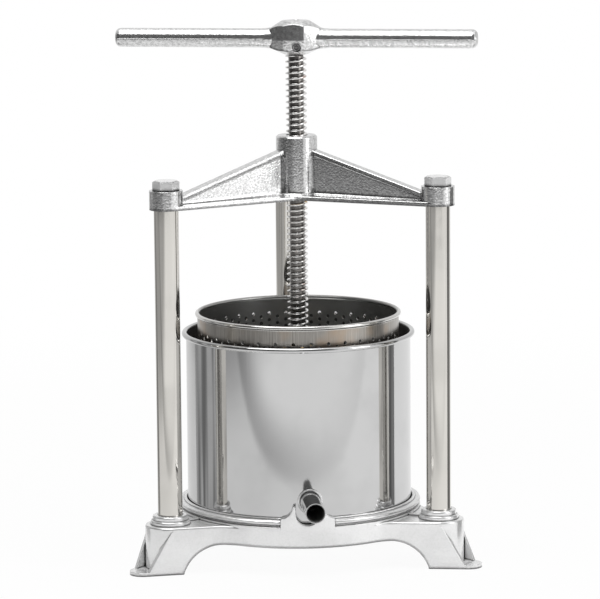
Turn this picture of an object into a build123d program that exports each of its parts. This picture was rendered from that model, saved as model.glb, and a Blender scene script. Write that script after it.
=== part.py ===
from build123d import *

import os
from math import acos, cos, radians, sin, sqrt, tan

# Small fruit press, in millimetres. The origin is on the screw's axis at table height,
# +Z is up and the spout points to the front, along -Y.

# Pail: drawn sheet with a rolled rim, seated in the base tray.
PAIL_OD = 234.8
PAIL_HEIGHT = 182.0
PAIL_SHEET = 1.2
PAIL_CORNER_R = 5.0
PAIL_RIM_D = 5.6
PAIL_TURN = 1.4

# Spout: a straight tube through the pail wall, with a weld collar.
SPOUT_OD = 20.6
SPOUT_WALL = 1.2
SPOUT_LENGTH = 60.0
SPOUT_HEIGHT = 25.4
SPOUT_COLLAR_W = 2.7
SPOUT_COLLAR_T = 2.0

# Basket: perforated cylinder with a rolled rim and a floor on pressed feet.
JUICE_GAP = 10.9
BASKET_HEIGHT = 201.2
BASKET_SHEET = 1.2
BASKET_RIM_D = 4.6
BASKET_FLOOR_T = 1.5
BASKET_FOOT_COUNT = 3
BASKET_FOOT_H = 6.0
BASKET_FOOT_D = 16.0
BASKET_FOOT_INSET = 22.0
HOLE_D = 3.4
HOLE_SIDES = 6
HOLE_DEPTH = 6.0
HOLES_PER_ROW = 18
HOLE_ROWS = 8
HOLE_ROW_PITCH = 21.0
HOLE_TOP_DROP = 16.8
HOLE_TURN = 3.4
FLOOR_HOLE_PITCH = 18.0
FLOOR_HOLES_PER_RING = (6, 9, 12)

# Press plate: ribbed disc that swivels on the screw's end.
PLATE_SIDE_GAP = 5.0
PLATE_T = 9.0
PLATE_LIP_H = 5.0
PLATE_LIP_W = 6.0
PLATE_CLEAR_HEIGHT = 121.0
PLATE_HUB_D = 50.0
PLATE_HUB_H = 34.0
PLATE_RIB_COUNT = 6
PLATE_RIB_T = 6.0
PLATE_BOLT_D = 10.0
PLATE_BOLT_AF = 17.0
PLATE_BOLT_HEAD_H = 6.4
PLATE_BOLT_LENGTH = 25.0
PLATE_BOLT_COVER = 3.0
PLATE_WASHER_OD = 30.0
PLATE_WASHER_T = 3.0
PLATE_WASHER_GAP = 2.0
THRUST_WASHER_OD = 34.0
THRUST_WASHER_T = 2.5

# Screw spindle: threaded length over a journal, with a spigot for the handle.
SCREW_D = 22.0
SCREW_CHAMFER = 1.5
SPIGOT_D = 16.0
SPIGOT_COVER = 8.0
JOURNAL_D = 16.0

# Handle: one casting, round arms flaring into a hub that tapers away from its parting line.
HANDLE_LENGTH = 378.0
HANDLE_D = 18.6
HANDLE_END_R = 5.0
HANDLE_TURN = -12.0
HUB_D = 36.0
HUB_TOP_D = 31.0
HUB_FOOT_D = 27.0
HUB_H = 35.0
HUB_PARTING_DROP = 2.0
HUB_EDGE_R = 1.8
HUB_FLARE_D = 31.0
HUB_FLARE_START = 11.0
HUB_FLARE_REACH = 27.0
HUB_FLARE_BLEND = 10.0
HUB_RISE = 83.0
HUB_DIMPLE_D = 7.0
HUB_DIMPLE_H = 2.5
SET_SCREW_D = 8.6
SET_SCREW_LENGTH = 5.0
SET_SCREW_DROP = 8.5
SET_SCREW_TURN = -2.0

# Posts: tubes on a circle, clamped by tie bolts between base and crosshead.
POST_ANGLES = {"left": 210.0, "right": 330.0, "back": 90.0}
POST_STANDOFF = 33.5
POST_OD = 25.4
POST_WALL = 2.0
POST_SHOWN_LENGTH = 316.8
POST_SOCKET_H = 5.0
HEX_CHAMFER_SHARE = 0.94
HEX_CHAMFER_ANGLE = 30.0
TIE_D = 16.0
TIE_AF = 24.0
TIE_HEAD_H = 10.0
TIE_NUT_H = 13.0
TIE_WASHER_OD = 30.0
TIE_WASHER_T = 3.0
TIE_TAIL = 4.0

# Base casting: tray, skirt, three legs and their feet.
LEG_HEIGHT = 49.0
LEG_MARGIN = 5.5
LEG_ROOT_R = 85.0
LEG_BLEND_R = 40.0
LEG_EDGE_R = 2.0
FOOT_REACH = 47.5
FOOT_END_R = 14.0
FOOT_T = 4.0
FOOT_HOLE_REACH = 32.5
FOOT_HOLE_D = 9.0
GUSSET_T = 4.0
GUSSET_DROP = 4.0
GUSSET_START = 13.0
GUSSET_END = 35.0
PLATFORM_T = 8.0
BASE_WALL = 5.0
SKIRT_EDGE_HEIGHT = 29.4
ARCH_R = 42.0
ARCH_SHOULDER = 86.5
TRAY_RISE = 2.0
TRAY_FLOOR_T = 5.0
TRAY_RIB_T = 6.0
LIP_W = 3.5
LIP_H = 8.8
LIP_EDGE_R = 1.2
BEAD_W = 5.5
BEAD_H = 5.0
BEAD_DROP = 1.6
BEAD_GAP = 56.0
POST_COLLAR_W = 5.6
POST_COLLAR_H = 9.6
COLLAR_STEP_W = 2.2
COLLAR_STEP_H = 4.6
COLLAR_EDGE_R = 1.8
NUT_BOSS_D = 36.0
NUT_BOSS_H = 3.0
NOTCH_GAP = 2.4
NOTCH_SILL = 1.6
HORN_RISE = 12.8
HORN_TIP_W = 2.5
HORN_FOOT_W = 12.0
HORN_SAG = 0.33
HORN_T = 5.5

# Crosshead: three I-section arms between the middle boss and the post bosses.
BOSS_D = 42.8
BOSS_H = 65.3
BOSS_EDGE = 1.8
BOSS_FOOT_R = 3.5
END_BOSS_W = 4.5
END_BOSS_H = 19.8
ARM_TOP_W = 13.0
ARM_FOOT_T = 4.4
ARM_FOOT_EDGE = 1.2
ARM_FLANGE_T = 4.4
ARM_FLANGE_EDGE = 1.6
ARM_WEB_T = 6.5
ARM_ROOT_WEB_H = 43.0
ARM_TIP_WEB_H = 3.0
ARM_BLEND_SHARE = 0.8
ARM_COLLAR_D = 51.0
ARM_COLLAR_BLEND = 12.0
BUSH_OD = 32.0
BUSH_CAP_T = 9.0
BUSH_FLANGE_W = 3.0
BUSH_FLANGE_T = 3.0

# Fits.
SEAT_GAP = 0.2
PAIL_SIDE_GAP = 0.6
SLIP = 0.1
RUNNING = 0.08
BOLT_SLACK = 0.5

# Heights that follow from the sizes above.
PLATFORM_UNDER_Z = LEG_HEIGHT - PLATFORM_T
NUT_SEAT_Z = PLATFORM_UNDER_Z - NUT_BOSS_H
TRAY_Z = LEG_HEIGHT + TRAY_RISE
TRAY_UNDER_Z = TRAY_Z - TRAY_FLOOR_T
LIP_TOP_Z = TRAY_Z + LIP_H
BEAD_TOP_Z = LIP_TOP_Z - BEAD_DROP
HORN_TOP_Z = LIP_TOP_Z + HORN_RISE
PAIL_Z = TRAY_Z + SEAT_GAP
PAIL_RIM_Z = PAIL_Z + PAIL_HEIGHT
SPOUT_Z = PAIL_Z + SPOUT_HEIGHT
BASKET_Z = PAIL_Z + PAIL_SHEET + SEAT_GAP
BASKET_FLOOR_Z = BASKET_Z + BASKET_FOOT_H
BASKET_RIM_Z = BASKET_Z + BASKET_HEIGHT
PLATE_Z = BASKET_FLOOR_Z + BASKET_FLOOR_T + PLATE_CLEAR_HEIGHT
PLATE_RECESS_Z = PLATE_Z + PLATE_BOLT_COVER + PLATE_BOLT_HEAD_H + PLATE_WASHER_T + SEAT_GAP
PLATE_HUB_TOP_Z = PLATE_Z + PLATE_HUB_H
SHOULDER_Z = PLATE_HUB_TOP_Z + THRUST_WASHER_T + SEAT_GAP
JOURNAL_END_Z = PLATE_RECESS_Z - SEAT_GAP
COLLAR_TOP_Z = LEG_HEIGHT + POST_COLLAR_H
CROSSHEAD_Z = COLLAR_TOP_Z + POST_SHOWN_LENGTH
END_BOSS_TOP_Z = CROSSHEAD_Z + END_BOSS_H
BOSS_TOP_Z = CROSSHEAD_Z + BOSS_H
HUB_Z = BOSS_TOP_Z + HUB_RISE
HUB_TOP_Z = HUB_Z + HUB_H
HANDLE_Z = HUB_Z + HUB_H / 2
SPIGOT_TOP_Z = HUB_TOP_Z - SPIGOT_COVER

# Widths and radii that follow from the sizes above.
PAIL_R = PAIL_OD / 2
SPOUT_COLLAR_OD = SPOUT_OD + 2 * SPOUT_COLLAR_W
BASKET_R = PAIL_R - PAIL_SHEET - JUICE_GAP
PLATE_D = 2 * (BASKET_R - BASKET_SHEET - PLATE_SIDE_GAP)
PLATE_RECESS_D = PLATE_WASHER_OD + 2 * PLATE_WASHER_GAP
LIP_R = PAIL_R + PAIL_SIDE_GAP
SKIRT_R = LIP_R + LIP_W + BEAD_W
BEAD_R = SKIRT_R - BEAD_H / 2
NOTCH_W = SPOUT_OD + 2 * NOTCH_GAP
POST_CIRCLE_R = SKIRT_R + POST_STANDOFF
POST_COLLAR_D = POST_OD + 2 * POST_COLLAR_W
COLLAR_STEP_D = POST_COLLAR_D + 2 * COLLAR_STEP_W
LEG_END_R = COLLAR_STEP_D / 2 + LEG_MARGIN
FOOT_TIP_R = POST_CIRCLE_R + FOOT_REACH
FOOT_HOLE_CIRCLE_R = POST_CIRCLE_R + FOOT_HOLE_REACH
END_BOSS_D = POST_OD + 2 * END_BOSS_W
BUSH_FLANGE_OD = BUSH_OD + 2 * BUSH_FLANGE_W

FRONT_ANGLE = -90.0
SPOUT_ANGLE = FRONT_ANGLE + PAIL_TURN
GAP_ANGLES = [angle + 180 / len(POST_ANGLES) for angle in POST_ANGLES.values()]


def tube(outer_d, inner_d, bottom, top):
    """Upright tube on the Z axis between two heights."""
    ring = Circle(outer_d / 2) - Circle(inner_d / 2)
    return Pos(0, 0, bottom) * extrude(ring, top - bottom)


def rod(diameter, bottom, top):
    """Upright round bar on the Z axis between two heights."""
    return Pos(0, 0, bottom) * extrude(Circle(diameter / 2), top - bottom)


def hexagon(across_flats, bottom, top):
    """Upright hexagonal bar on the Z axis between two heights, a flat towards +X."""
    outline = RegularPolygon(across_flats / 2, 6, major_radius=False, rotation=30)
    return Pos(0, 0, bottom) * extrude(outline, top - bottom)


def turned(section):
    """Solid of revolution from a section drawn in radius and height."""
    return revolve(Plane.XZ * section, Axis.Z)


def hex_head(across_flats, bottom, top):
    """Hexagonal bar whose corners are turned down to a cone at its upper end."""
    corner_r = across_flats / sqrt(3)
    face_r = HEX_CHAMFER_SHARE * across_flats / 2
    shoulder = top - (corner_r - face_r) * tan(radians(HEX_CHAMFER_ANGLE))
    blank = make_face(
        Polyline((0, bottom), (corner_r, bottom), (corner_r, shoulder), (face_r, top), (0, top), close=True)
    )
    return hexagon(across_flats, bottom, top) & turned(blank)


def box_section(r_in, r_out, bottom, top):
    """Rectangle between two radii and two heights, for turned()."""
    return Pos((r_in + r_out) / 2, (bottom + top) / 2) * Rectangle(r_out - r_in, top - bottom)


def at_post(angle, piece):
    """Piece modelled on the Z axis, carried out to a post and turned to face outwards."""
    return Rot(0, 0, angle) * Pos(POST_CIRCLE_R, 0, 0) * piece


def outwards(angle, sketch, start, reach):
    """Sketch in width and height, extruded outwards along a polar direction."""
    plane = Plane(origin=(start, 0, 0), x_dir=(0, 1, 0), z_dir=(1, 0, 0))
    return Rot(0, 0, angle) * extrude(plane * sketch, reach)


# Base casting


def belt(start, start_r, end, end_r):
    """Plan along +X: two round ends on the X axis, joined by their outer tangents."""
    turn = acos((start_r - end_r) / (end - start))
    corners = []
    for centre, r in ((start, start_r), (end, end_r)):
        corners.append((centre + r * cos(turn), r * sin(turn)))
    corners += [(x, -y) for x, y in reversed(corners)]
    ends = [Pos(start, 0) * Circle(start_r), Pos(end, 0) * Circle(end_r)]
    return make_face(Polyline(*corners, close=True)) + ends


def foot_plan(inset=0.0):
    """Plan of a foot along +X, from the round end of the leg to the foot tip."""
    return belt(POST_CIRCLE_R, LEG_END_R - inset, FOOT_TIP_R - FOOT_END_R, FOOT_END_R - inset)


def base_plan():
    """Plan of tray and legs, with the tongues blended into the round skirt."""
    plan = Circle(SKIRT_R)
    for angle in POST_ANGLES.values():
        plan += Rot(0, 0, angle) * belt(0, LEG_ROOT_R, POST_CIRCLE_R, LEG_END_R)
    inner_corners = [v for v in plan.vertices() if abs(Vector(*v).length - SKIRT_R) < SLIP]
    return fillet(inner_corners, LEG_BLEND_R)


def foot_solid():
    """Foot plate with two gussets sloping up to the round end of the leg."""
    side = make_face(
        Polyline(
            (POST_CIRCLE_R, 0),
            (FOOT_TIP_R, 0),
            (FOOT_TIP_R, FOOT_T),
            (POST_CIRCLE_R + GUSSET_END, FOOT_T),
            (POST_CIRCLE_R + GUSSET_START, LEG_HEIGHT - GUSSET_DROP),
            (POST_CIRCLE_R, LEG_HEIGHT - GUSSET_DROP),
            close=True,
        )
    )
    sloped = extrude(Plane.XZ * side, LEG_END_R, both=True)
    pocket = Pos(0, 0, FOOT_T) * extrude(foot_plan(GUSSET_T), LEG_HEIGHT)
    hole = Pos(FOOT_HOLE_CIRCLE_R, 0, 0) * rod(FOOT_HOLE_D, 0, FOOT_T)
    hollow = at_post(0, rod(2 * (LEG_END_R - BASE_WALL), 0, LEG_HEIGHT))
    return (extrude(foot_plan(), LEG_HEIGHT) & sloped) - pocket - hole - hollow


def tray_section():
    """Radial section of the tray: floor, lip and the round bead outside the lip."""
    floor = box_section(0, SKIRT_R, TRAY_UNDER_Z, TRAY_Z)
    shoulder = box_section(LIP_R, SKIRT_R - BEAD_H / 2, TRAY_UNDER_Z, BEAD_TOP_Z)
    lip = box_section(LIP_R, LIP_R + LIP_W, TRAY_UNDER_Z, LIP_TOP_Z)
    lip = fillet(lip.vertices().group_by(Axis.Y)[-1], LIP_EDGE_R)
    return floor + shoulder + lip


def bead():
    """Round bead below the lip, left open either side of the spout notch."""
    ring = turned(Pos(BEAD_R, BEAD_TOP_Z - BEAD_H / 2) * Circle(BEAD_H / 2))
    return ring - outwards(FRONT_ANGLE, Rectangle(BEAD_GAP, 2 * LIP_TOP_Z), 0, 2 * SKIRT_R)


def post_collar():
    """Stepped collar round the foot of a post, with rounded rims."""
    step = rod(COLLAR_STEP_D, LEG_HEIGHT - LEG_EDGE_R, LEG_HEIGHT + COLLAR_STEP_H)
    collar = rod(POST_COLLAR_D, LEG_HEIGHT, COLLAR_TOP_Z)
    step, collar = (fillet(ring.edges().sort_by(Axis.Z)[-1], COLLAR_EDGE_R) for ring in (step, collar))
    return step + collar


def notch_outline(width, floor):
    """U-shaped cut: a round bottom with straight sides above it."""
    bottom = Pos(0, floor + width / 2) * Circle(width / 2)
    sides = Pos(0, floor + width / 2 + LIP_TOP_Z / 2) * Rectangle(width, LIP_TOP_Z)
    return bottom + sides


def horns():
    """Lip raised to a point on both sides of the spout notch."""
    tip = NOTCH_W / 2 + HORN_TIP_W
    foot = tip + HORN_FOOT_W
    sag = (tip + HORN_SAG * HORN_FOOT_W, LIP_TOP_Z + HORN_SAG * HORN_RISE)
    outline = make_face(
        [
            Line((-foot, TRAY_Z), (foot, TRAY_Z)),
            Line((foot, TRAY_Z), (foot, LIP_TOP_Z)),
            ThreePointArc((foot, LIP_TOP_Z), sag, (tip, HORN_TOP_Z)),
            Line((tip, HORN_TOP_Z), (-tip, HORN_TOP_Z)),
            ThreePointArc((-tip, HORN_TOP_Z), (-sag[0], sag[1]), (-foot, LIP_TOP_Z)),
            Line((-foot, LIP_TOP_Z), (-foot, TRAY_Z)),
        ]
    )
    ring = turned(box_section(LIP_R, LIP_R + HORN_T, TRAY_Z, HORN_TOP_Z))
    return ring & outwards(FRONT_ANGLE, outline, 0, 2 * SKIRT_R)


def notch():
    """Cut for the spout tube, and a wider one inside it for the weld collar."""
    tube_cut = outwards(FRONT_ANGLE, notch_outline(NOTCH_W, TRAY_Z + NOTCH_SILL), LIP_R - LIP_W, SKIRT_R)
    collar_w = SPOUT_COLLAR_OD + 2 * (PAIL_R * sin(radians(PAIL_TURN)) + BOLT_SLACK)
    collar_reach = PAIL_R + SPOUT_COLLAR_T + BOLT_SLACK
    relief = outwards(FRONT_ANGLE, notch_outline(collar_w, SPOUT_Z - collar_w / 2), 0, collar_reach)
    return tube_cut + relief


def arch():
    """Opening between two legs: flat under the skirt, rounded down to the feet."""
    centre_z = SKIRT_EDGE_HEIGHT - ARCH_R
    flat = Pos(0, centre_z) * Rectangle(2 * ARCH_SHOULDER, 2 * ARCH_R)
    ends = [Pos(side * ARCH_SHOULDER, centre_z) * Circle(ARCH_R) for side in (-1, 1)]
    return flat + ends


def base_casting():
    plan = base_plan()
    shell = extrude(plan, LEG_HEIGHT)
    shell = fillet(shell.edges().group_by(Axis.Z)[-1], LEG_EDGE_R)
    shell -= extrude(offset(plan, -BASE_WALL), PLATFORM_UNDER_Z)
    shell -= rod(2 * (SKIRT_R - BASE_WALL), 0, TRAY_Z)
    for angle in GAP_ANGLES:
        shell -= outwards(angle, arch(), BASE_WALL, FOOT_TIP_R)

    for angle in POST_ANGLES.values():
        shell += Rot(0, 0, angle) * foot_solid()
        shell += at_post(angle, post_collar())
        shell += at_post(angle, rod(NUT_BOSS_D, NUT_SEAT_Z, LEG_HEIGHT - LEG_EDGE_R))

    shell += turned(tray_section()) + bead() + horns()
    rib = Rectangle(TRAY_RIB_T, TRAY_Z - NUT_SEAT_Z - SLIP, align=(Align.CENTER, Align.MIN))
    for angle in POST_ANGLES.values():
        shell += outwards(angle, Pos(0, NUT_SEAT_Z) * rib, 0, POST_CIRCLE_R - NUT_BOSS_D / 2 + SLIP)
    shell -= notch()
    for angle in POST_ANGLES.values():
        shell -= at_post(angle, rod(TIE_D + 2 * BOLT_SLACK, 0, COLLAR_TOP_Z))
        shell -= at_post(angle, rod(POST_OD + 2 * SLIP, COLLAR_TOP_Z - POST_SOCKET_H, COLLAR_TOP_Z))
    return shell


# Posts and tie bolts


def post_tube():
    return tube(POST_OD, POST_OD - 2 * POST_WALL, COLLAR_TOP_Z - POST_SOCKET_H, CROSSHEAD_Z + POST_SOCKET_H)


def tie_bolt():
    tail = NUT_SEAT_Z - TIE_WASHER_T - TIE_NUT_H - TIE_TAIL
    head = hex_head(TIE_AF, END_BOSS_TOP_Z, END_BOSS_TOP_Z + TIE_HEAD_H)
    return head + rod(TIE_D, tail, END_BOSS_TOP_Z)


def tie_washer():
    return tube(TIE_WASHER_OD, TIE_D + 2 * SLIP, NUT_SEAT_Z - TIE_WASHER_T, NUT_SEAT_Z)


def tie_nut():
    top = NUT_SEAT_Z - TIE_WASHER_T
    return hexagon(TIE_AF, top - TIE_NUT_H, top) - rod(TIE_D + 2 * SLIP, top - TIE_NUT_H, top)


# Crosshead


def arm_section(reach, web_h, blend):
    """I-section across an arm along +X, with blended inner corners and eased flange edges."""
    web = ARM_WEB_T / 2
    top = ARM_TOP_W / 2
    foot = web + 2 * blend
    rise = ARM_FOOT_T + web_h
    lower_half = [(foot, 0), (foot, ARM_FOOT_T), (web, ARM_FOOT_T)]
    half = lower_half + [(web, rise), (top, rise), (top, rise + ARM_FLANGE_T)]
    outline = make_face(Polyline(*half, *[(-x, z) for x, z in reversed(half)], close=True))
    inner = [v for v in outline.vertices() if abs(abs(v.X) - web) < SLIP]
    outline = fillet(inner, blend)
    outline = fillet(outline.vertices().group_by(Axis.Y)[-1], ARM_FLANGE_EDGE)
    return Plane(origin=(reach, 0, CROSSHEAD_Z), x_dir=(0, 1, 0), z_dir=(1, 0, 0)) * outline


def arm():
    """One arm along +X, from inside the middle boss to inside the post boss."""
    root_blend = ARM_BLEND_SHARE * (ARM_TOP_W - ARM_WEB_T) / 2
    tip_blend = min(root_blend, ARM_BLEND_SHARE * ARM_TIP_WEB_H / 2)
    root = arm_section(BOSS_D / 2 - ARM_FLANGE_T, ARM_ROOT_WEB_H, root_blend)
    tip = arm_section(POST_CIRCLE_R - END_BOSS_D / 2 + ARM_FLANGE_T, ARM_TIP_WEB_H, tip_blend)
    return loft([root, tip], ruled=True)


def crosshead_foot():
    """Flat lower flange of all three arms, round at the posts and blended in the middle."""
    collar_r = ARM_COLLAR_D / 2
    plan = Circle(collar_r)
    for angle in POST_ANGLES.values():
        plan += Rot(0, 0, angle) * belt(0, collar_r, POST_CIRCLE_R, END_BOSS_D / 2)
    corners = plan.vertices().sort_by_distance((0, 0, 0))[: len(POST_ANGLES)]
    foot = Pos(0, 0, CROSSHEAD_Z) * extrude(fillet(corners, ARM_COLLAR_BLEND), ARM_FOOT_T)
    return fillet(foot.edges().group_by(Axis.Z)[-1], ARM_FOOT_EDGE)


def middle_boss():
    """Boss round the screw, chamfered on top and blended into the lower flange."""
    flange = box_section(0, ARM_COLLAR_D / 2, CROSSHEAD_Z, CROSSHEAD_Z + ARM_FOOT_T)
    section = flange + box_section(0, BOSS_D / 2, CROSSHEAD_Z, BOSS_TOP_Z)
    corner = section.vertices().sort_by_distance((BOSS_D / 2, CROSSHEAD_Z + ARM_FOOT_T))[0]
    section = fillet(corner, BOSS_FOOT_R)
    rim = section.vertices().sort_by_distance((BOSS_D / 2, BOSS_TOP_Z))[0]
    return turned(chamfer(rim, BOSS_EDGE))


def crosshead():
    body = crosshead_foot() + middle_boss()
    for angle in POST_ANGLES.values():
        body += Rot(0, 0, angle) * arm()
        body += at_post(angle, rod(END_BOSS_D, CROSSHEAD_Z, END_BOSS_TOP_Z))
    for angle in POST_ANGLES.values():
        body -= at_post(angle, rod(END_BOSS_D, END_BOSS_TOP_Z, BOSS_TOP_Z))
        body -= at_post(angle, rod(TIE_D + 2 * BOLT_SLACK, CROSSHEAD_Z, END_BOSS_TOP_Z))
        body -= at_post(angle, rod(POST_OD + 2 * SLIP, CROSSHEAD_Z, CROSSHEAD_Z + POST_SOCKET_H))
    body -= rod(BUSH_OD + 2 * SLIP, CROSSHEAD_Z, BOSS_TOP_Z - BUSH_CAP_T)
    body -= rod(BUSH_FLANGE_OD + 2 * SLIP, CROSSHEAD_Z, CROSSHEAD_Z + BUSH_FLANGE_T)
    return body - rod(SCREW_D + 2 * BOLT_SLACK, CROSSHEAD_Z, BOSS_TOP_Z)


def thread_bush():
    bush = rod(BUSH_OD, CROSSHEAD_Z, BOSS_TOP_Z - BUSH_CAP_T)
    bush += rod(BUSH_FLANGE_OD, CROSSHEAD_Z, CROSSHEAD_Z + BUSH_FLANGE_T)
    return bush - rod(SCREW_D + 2 * RUNNING, CROSSHEAD_Z, BOSS_TOP_Z)


# Screw and handle


def screw():
    thread = rod(SCREW_D, SHOULDER_Z, HUB_Z)
    thread = chamfer(thread.edges().filter_by(GeomType.CIRCLE), SCREW_CHAMFER)
    spigot = rod(SPIGOT_D, HUB_Z - SCREW_CHAMFER, SPIGOT_TOP_Z)
    journal = rod(JOURNAL_D, JOURNAL_END_Z, SHOULDER_Z + SCREW_CHAMFER)
    bolt_hole = rod(PLATE_BOLT_D + 2 * SLIP, JOURNAL_END_Z, JOURNAL_END_Z + PLATE_BOLT_LENGTH)
    return thread + spigot + journal - bolt_hole


def handle_arms():
    """Both arms turned about X: rounded ends, then a flare up to the hub."""
    half = HANDLE_LENGTH / 2
    r = HANDLE_D / 2
    flare = HUB_FLARE_D / 2
    corner = HANDLE_END_R * (1 - cos(radians(45)))
    outline = [
        Line((0, 0), (half, 0)),
        Line((half, 0), (half, r - HANDLE_END_R)),
        ThreePointArc((half, r - HANDLE_END_R), (half - corner, r - corner), (half - HANDLE_END_R, r)),
        Line((half - HANDLE_END_R, r), (HUB_FLARE_REACH, r)),
        Line((HUB_FLARE_REACH, r), (HUB_FLARE_START, flare)),
        Line((HUB_FLARE_START, flare), (0, flare)),
        Line((0, flare), (0, 0)),
    ]
    section = make_face(outline)
    waist = section.vertices().sort_by_distance((HUB_FLARE_REACH, r))[0]
    one = revolve(fillet(waist, HUB_FLARE_BLEND), Axis.X)
    return one + mirror(one, Plane.YZ)


def hub():
    """Hub turned about Z, widest at the parting line just below the arms' axis."""
    section = make_face(
        Polyline(
            (0, HUB_Z),
            (HUB_FOOT_D / 2, HUB_Z),
            (HUB_D / 2, HANDLE_Z - HUB_PARTING_DROP),
            (HUB_TOP_D / 2, HUB_TOP_Z),
            (0, HUB_TOP_Z),
            close=True,
        )
    )
    outer = [v for v in section.vertices() if v.X > SLIP]
    return turned(fillet(outer, HUB_EDGE_R))


def set_screw_place():
    """Frame at the hub's axis that looks out along the set screw."""
    return Pos(0, 0, HANDLE_Z - SET_SCREW_DROP) * Rot(0, 0, SET_SCREW_TURN) * Rot(90, 0, 0)


def handle():
    body = hub() + Pos(0, 0, HANDLE_Z) * Rot(0, 0, HANDLE_TURN) * handle_arms()
    body -= rod(SPIGOT_D + 2 * SLIP, HUB_Z, SPIGOT_TOP_Z + SLIP)
    body -= rod(HUB_DIMPLE_D, HUB_TOP_Z - HUB_DIMPLE_H, HUB_TOP_Z)
    return body - set_screw_place() * rod(SET_SCREW_D + 2 * SLIP, 0, HUB_D)


def handle_set_screw():
    start = SPIGOT_D / 2 + SLIP
    return set_screw_place() * rod(SET_SCREW_D, start, start + SET_SCREW_LENGTH)


# Press plate and what holds it


def press_plate():
    disc = rod(PLATE_D, PLATE_Z, PLATE_Z + PLATE_T)
    disc += tube(PLATE_D, PLATE_D - 2 * PLATE_LIP_W, PLATE_Z, PLATE_Z + PLATE_T + PLATE_LIP_H)
    hub = rod(PLATE_HUB_D, PLATE_Z, PLATE_HUB_TOP_Z)
    rim_r = PLATE_D / 2 - PLATE_LIP_W / 2
    rib = make_face(
        Polyline(
            (0, PLATE_Z),
            (rim_r, PLATE_Z),
            (rim_r, PLATE_Z + PLATE_T + PLATE_LIP_H),
            (PLATE_HUB_D / 2, PLATE_HUB_TOP_Z - PLATE_LIP_H),
            (0, PLATE_HUB_TOP_Z - PLATE_LIP_H),
            close=True,
        )
    )
    ribs = PolarLocations(0, PLATE_RIB_COUNT) * extrude(Plane.XZ * rib, PLATE_RIB_T / 2, both=True)
    body = disc + hub + ribs
    body -= rod(PLATE_RECESS_D, PLATE_Z, PLATE_RECESS_Z)
    return body - rod(JOURNAL_D + 2 * RUNNING, PLATE_Z, PLATE_HUB_TOP_Z)


def thrust_washer():
    top = PLATE_HUB_TOP_Z + THRUST_WASHER_T
    return tube(THRUST_WASHER_OD, JOURNAL_D + 2 * RUNNING, PLATE_HUB_TOP_Z, top)


def plate_washer():
    return tube(PLATE_WASHER_OD, PLATE_BOLT_D + 2 * SLIP, JOURNAL_END_Z - PLATE_WASHER_T, JOURNAL_END_Z)


def plate_bolt():
    seat = JOURNAL_END_Z - PLATE_WASHER_T
    head = hexagon(PLATE_BOLT_AF, seat - PLATE_BOLT_HEAD_H, seat)
    return head + rod(PLATE_BOLT_D, seat, JOURNAL_END_Z + PLATE_BOLT_LENGTH - SLIP)


# Basket


def hole_prism():
    """Faceted drain hole, upright on the Z axis."""
    return extrude(RegularPolygon(HOLE_D / 2, HOLE_SIDES), HOLE_DEPTH / 2, both=True)


def basket_wall():
    wall = box_section(BASKET_R - BASKET_SHEET, BASKET_R, BASKET_FLOOR_Z, BASKET_RIM_Z)
    rim = Pos(BASKET_R, BASKET_RIM_Z) * Circle(BASKET_RIM_D / 2)
    body = turned(wall + rim)
    drill = Pos(BASKET_R, 0, 0) * Rot(0, 90, 0) * hole_prism()
    step = 360 / HOLES_PER_ROW
    holes = []
    for row in range(HOLE_ROWS):
        z = BASKET_RIM_Z - HOLE_TOP_DROP - row * HOLE_ROW_PITCH
        for place in range(HOLES_PER_ROW):
            turn = HOLE_TURN + step * (place + row % 2 / 2)
            holes.append(Pos(0, 0, z) * Rot(0, 0, turn) * drill)
    return body - holes


def basket_floor():
    body = rod(2 * (BASKET_R - BASKET_SHEET) - SLIP, BASKET_FLOOR_Z, BASKET_FLOOR_Z + BASKET_FLOOR_T)
    foot = rod(BASKET_FOOT_D, BASKET_Z, BASKET_FLOOR_Z)
    dent_bottom = BASKET_Z + BASKET_FLOOR_T
    dent = rod(BASKET_FOOT_D - 2 * BASKET_FLOOR_T, dent_bottom, BASKET_FLOOR_Z + BASKET_FLOOR_T)
    for place in PolarLocations(BASKET_R - BASKET_FOOT_INSET, BASKET_FOOT_COUNT):
        body = body + place * foot - place * dent
    drill = Pos(0, 0, BASKET_FLOOR_Z) * hole_prism()
    for ring, count in enumerate(FLOOR_HOLES_PER_RING, start=1):
        body -= PolarLocations(ring * FLOOR_HOLE_PITCH, count) * drill
    return body


# Pail and spout


def pail_section():
    """Half section of the pail: floor, drawn corner, wall and rolled rim."""
    outer = box_section(0, PAIL_R, PAIL_Z, PAIL_RIM_Z)
    outer = fillet(outer.vertices().sort_by(Axis.Y)[:2].sort_by(Axis.X)[-1], PAIL_CORNER_R)
    inner = box_section(0, PAIL_R - PAIL_SHEET, PAIL_Z + PAIL_SHEET, PAIL_RIM_Z)
    inner = fillet(inner.vertices().sort_by(Axis.Y)[:2].sort_by(Axis.X)[-1], PAIL_CORNER_R - PAIL_SHEET)
    rim_centre_r = PAIL_R + PAIL_RIM_D / 2 - PAIL_SHEET
    return outer - inner + Pos(rim_centre_r, PAIL_RIM_Z) * Circle(PAIL_RIM_D / 2)


def along_spout(section, start, end):
    """Section extruded along the spout's axis between two distances from the press axis."""
    return outwards(SPOUT_ANGLE, Pos(0, SPOUT_Z) * section, start, end - start)


def pail_shell():
    return turned(pail_section()) - along_spout(Circle(SPOUT_OD / 2), PAIL_R / 2, PAIL_R + SPOUT_LENGTH)


def spout_tube():
    ring = Circle(SPOUT_OD / 2) - Circle(SPOUT_OD / 2 - SPOUT_WALL)
    inside = rod(PAIL_OD - 2 * PAIL_SHEET, PAIL_Z, PAIL_RIM_Z)
    return along_spout(ring, PAIL_R / 2, PAIL_R + SPOUT_LENGTH) - inside


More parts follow.
